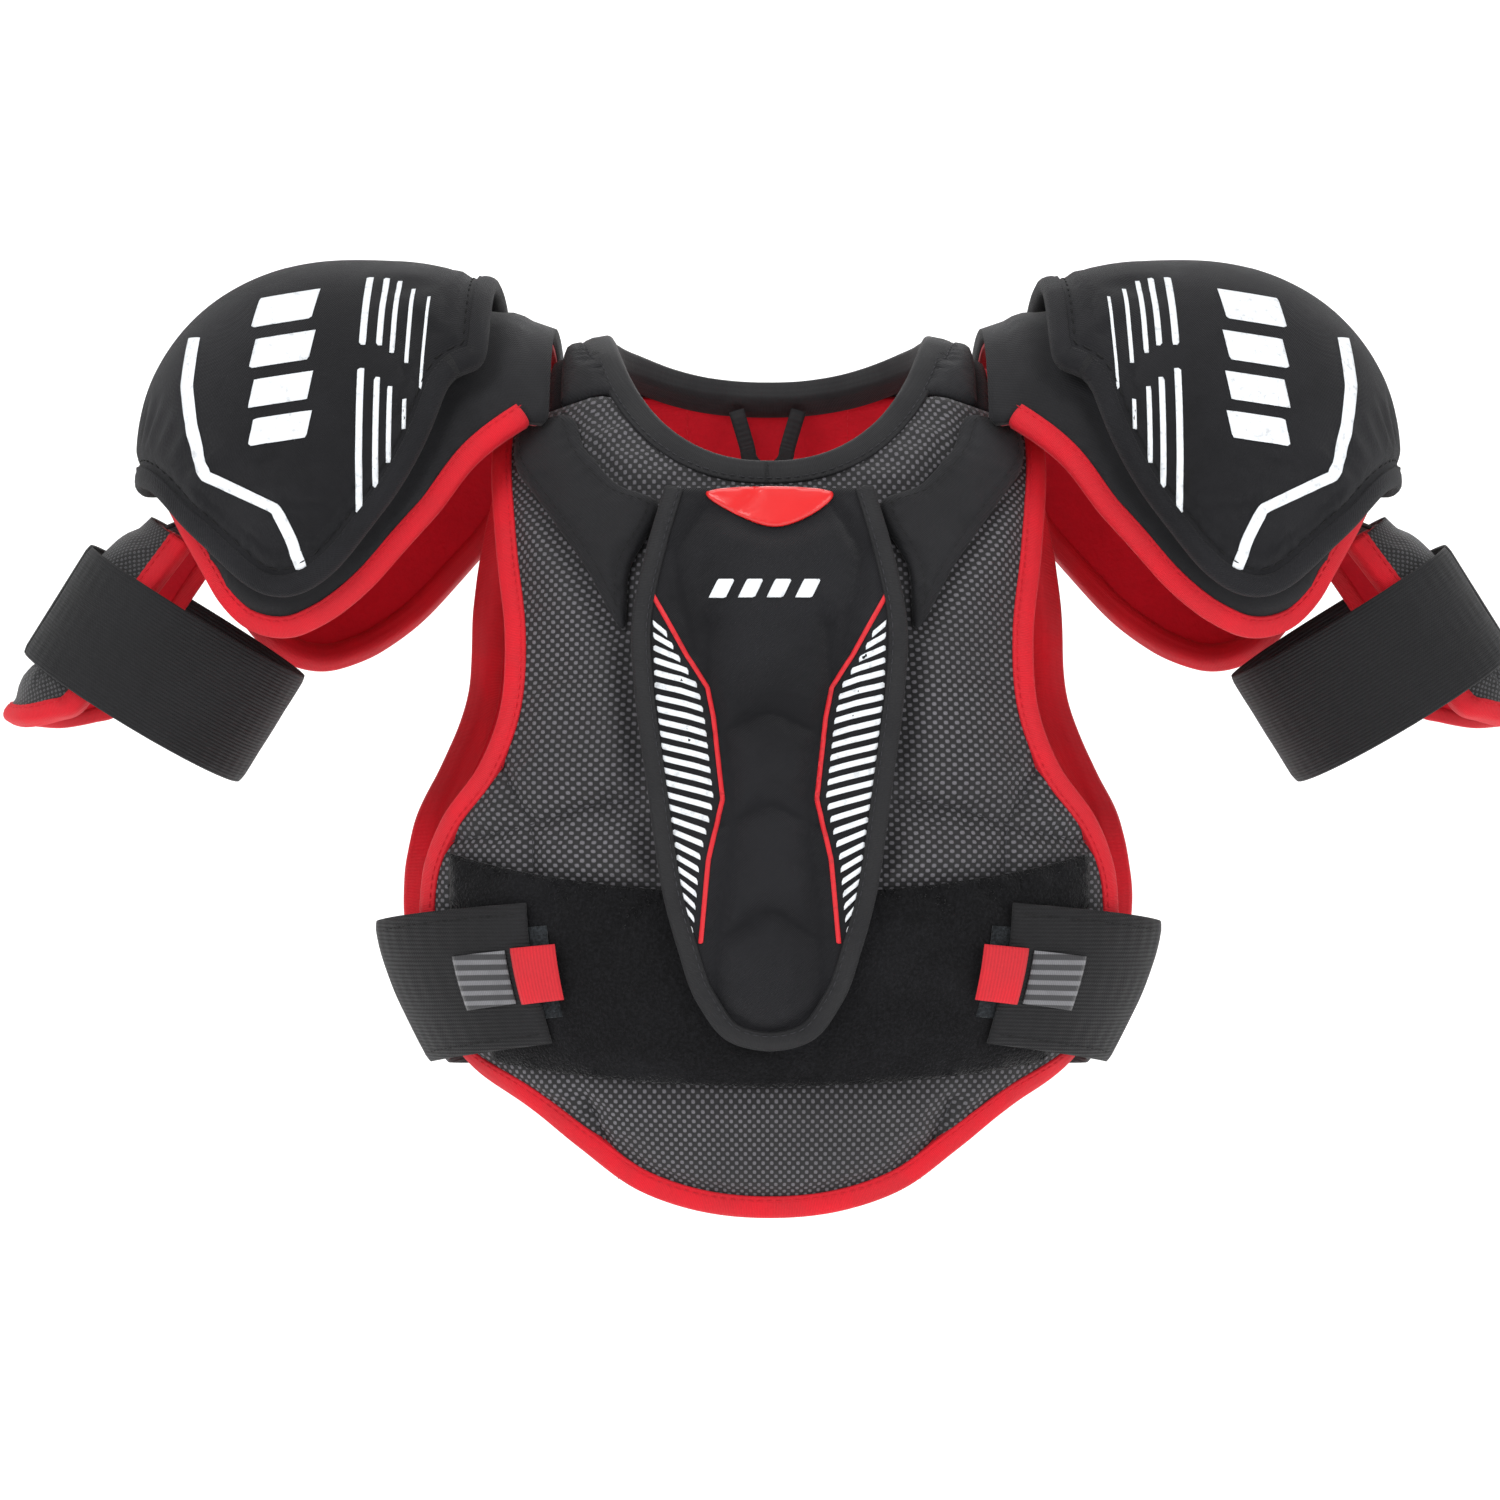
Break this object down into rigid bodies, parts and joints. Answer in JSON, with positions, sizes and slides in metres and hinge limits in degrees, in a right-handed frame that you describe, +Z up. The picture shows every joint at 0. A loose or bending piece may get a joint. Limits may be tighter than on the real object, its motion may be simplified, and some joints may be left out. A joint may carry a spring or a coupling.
{
  "type": "ice hockey shoulder pads",
  "caption": "Padded hockey shoulder pads: chest and back panels, hinged shoulder caps, bicep guards with arm straps and wide belly straps.",
  "frame": {"origin": "middle of the neck opening, at the height where the pads rest on the shoulders", "axes": "+X to the wearer's left, +Y to the wearer's back, +Z up"},
  "size_m": [0.5634, 0.2164, 0.3386],
  "materials": {
    "mesh_fabric": "grey dotted knit mesh over foam",
    "black_fabric": "black brushed woven polyester",
    "red_lining": "red brushed lining",
    "red_binding": "red folded woven edge tape",
    "black_binding": "black folded woven edge tape",
    "loop_pile": "black loop pile",
    "elastic": "black ribbed elastic",
    "hook_tape": "dark hook tape, backed with elastic",
    "woven_label": "grey woven label with plain lines",
    "red_webbing": "red woven webbing",
    "badge_gel": "glossy red moulded badge, blank",
    "guard_plastic": "dark grey polyethylene",
    "foam": "closed-cell foam"
  },
  "bodies": {
    "torso": {"chest_pad": "mesh_fabric", "chest_liner": "red_lining", "chest_binding": "red_binding", "back_pad": "mesh_fabric", "back_liner": "red_lining", "back_binding": "red_binding", "collar_binding": "black_binding", "left_yoke_liner": "red_lining", "right_yoke_liner": "red_lining", "left_yoke_cover": "black_fabric", "right_yoke_cover": "black_fabric", "belly_loop_field": "loop_pile", "left_clavicle_pad": "black_fabric", "right_clavicle_pad": "black_fabric", "sternum_backing": "black_fabric", "sternum_plate": "guard_plastic", "sternum_cover": "black_fabric", "sternum_binding": "black_binding", "sternum_badge": "badge_gel", "spine_pad": "black_fabric", "spine_plate": "guard_plastic", "hanger_loop": "black_binding"},
    "left_shoulder": {"left_arch_liner": "red_lining", "left_arch_pad": "black_fabric", "left_arch_binding": "red_binding", "left_cap_foam": "foam", "left_cap_shell": "guard_plastic", "left_cap_cover": "black_fabric", "left_cap_binding": "black_binding"},
    "left_bicep": {"left_bicep_liner": "red_lining", "left_bicep_plate": "guard_plastic", "left_bicep_cover": "mesh_fabric", "left_bicep_binding": "red_binding", "left_bicep_hanging_strip": "elastic", "left_arm_loop_patch": "loop_pile", "left_arm_strap": "elastic"},
    "left_arm_tab": {"left_arm_strap_tab": "hook_tape"},
    "left_belly_strap": {"left_belly_strap": "elastic", "left_belly_hook_tab": "hook_tape", "left_belly_strap_label": "woven_label"},
    "left_pull_tab": {"left_belly_pull_tab": "red_webbing"},
    "right_shoulder": {"right_arch_liner": "red_lining", "right_arch_pad": "black_fabric", "right_arch_binding": "red_binding", "right_cap_foam": "foam", "right_cap_shell": "guard_plastic", "right_cap_cover": "black_fabric", "right_cap_binding": "black_binding"},
    "right_bicep": {"right_bicep_liner": "red_lining", "right_bicep_plate": "guard_plastic", "right_bicep_cover": "mesh_fabric", "right_bicep_binding": "red_binding", "right_bicep_hanging_strip": "elastic", "right_arm_loop_patch": "loop_pile", "right_arm_strap": "elastic"},
    "right_arm_tab": {"right_arm_strap_tab": "hook_tape"},
    "right_belly_strap": {"right_belly_strap": "elastic", "right_belly_hook_tab": "hook_tape", "right_belly_strap_label": "woven_label"},
    "right_pull_tab": {"right_belly_pull_tab": "red_webbing"}
  },
  "joints": [
    {"name": "left_shoulder_lift", "type": "hinge", "parent": "torso", "child": "left_shoulder", "pos_m": [0.0795, 0, 0.019], "axis": [0, -1, 0], "range_deg": [-6, 40]},
    {"name": "left_bicep_swing", "type": "hinge", "parent": "left_shoulder", "child": "left_bicep", "pos_m": [0.2285, 0, -0.0425], "axis": [0, -1, 0], "range_deg": [-8, 45]},
    {"name": "left_arm_tab_peel", "type": "hinge", "parent": "left_bicep", "child": "left_arm_tab", "pos_m": [0.25979, -0.01732, -0.0744], "axis": [0.5299, 0, -0.848], "range_deg": [0, 100]},
    {"name": "left_belly_strap_swing", "type": "hinge", "parent": "torso", "child": "left_belly_strap", "pos_m": [0.1235, 0.0515, -0.222], "axis": [0, 0, 1], "range_deg": [0, 90]},
    {"name": "left_pull_tab_lift", "type": "hinge", "parent": "left_belly_strap", "child": "left_pull_tab", "pos_m": [0.0884, -0.0923, -0.20745], "axis": [0, 0, 1], "range_deg": [0, 45]},
    {"name": "right_shoulder_lift", "type": "hinge", "parent": "torso", "child": "right_shoulder", "pos_m": [-0.0795, 0, 0.019], "axis": [0, 1, 0], "range_deg": [-6, 40]},
    {"name": "right_bicep_swing", "type": "hinge", "parent": "right_shoulder", "child": "right_bicep", "pos_m": [-0.2285, 0, -0.0425], "axis": [0, 1, 0], "range_deg": [-8, 45]},
    {"name": "right_arm_tab_peel", "type": "hinge", "parent": "right_bicep", "child": "right_arm_tab", "pos_m": [-0.25979, -0.01732, -0.0744], "axis": [0.5299, 0, 0.848], "range_deg": [0, 100]},
    {"name": "right_belly_strap_swing", "type": "hinge", "parent": "torso", "child": "right_belly_strap", "pos_m": [-0.1235, 0.0515, -0.222], "axis": [0, 0, -1], "range_deg": [0, 90]},
    {"name": "right_pull_tab_lift", "type": "hinge", "parent": "right_belly_strap", "child": "right_pull_tab", "pos_m": [-0.0884, -0.0923, -0.20745], "axis": [0, 0, -1], "range_deg": [0, 45]}
  ]
}
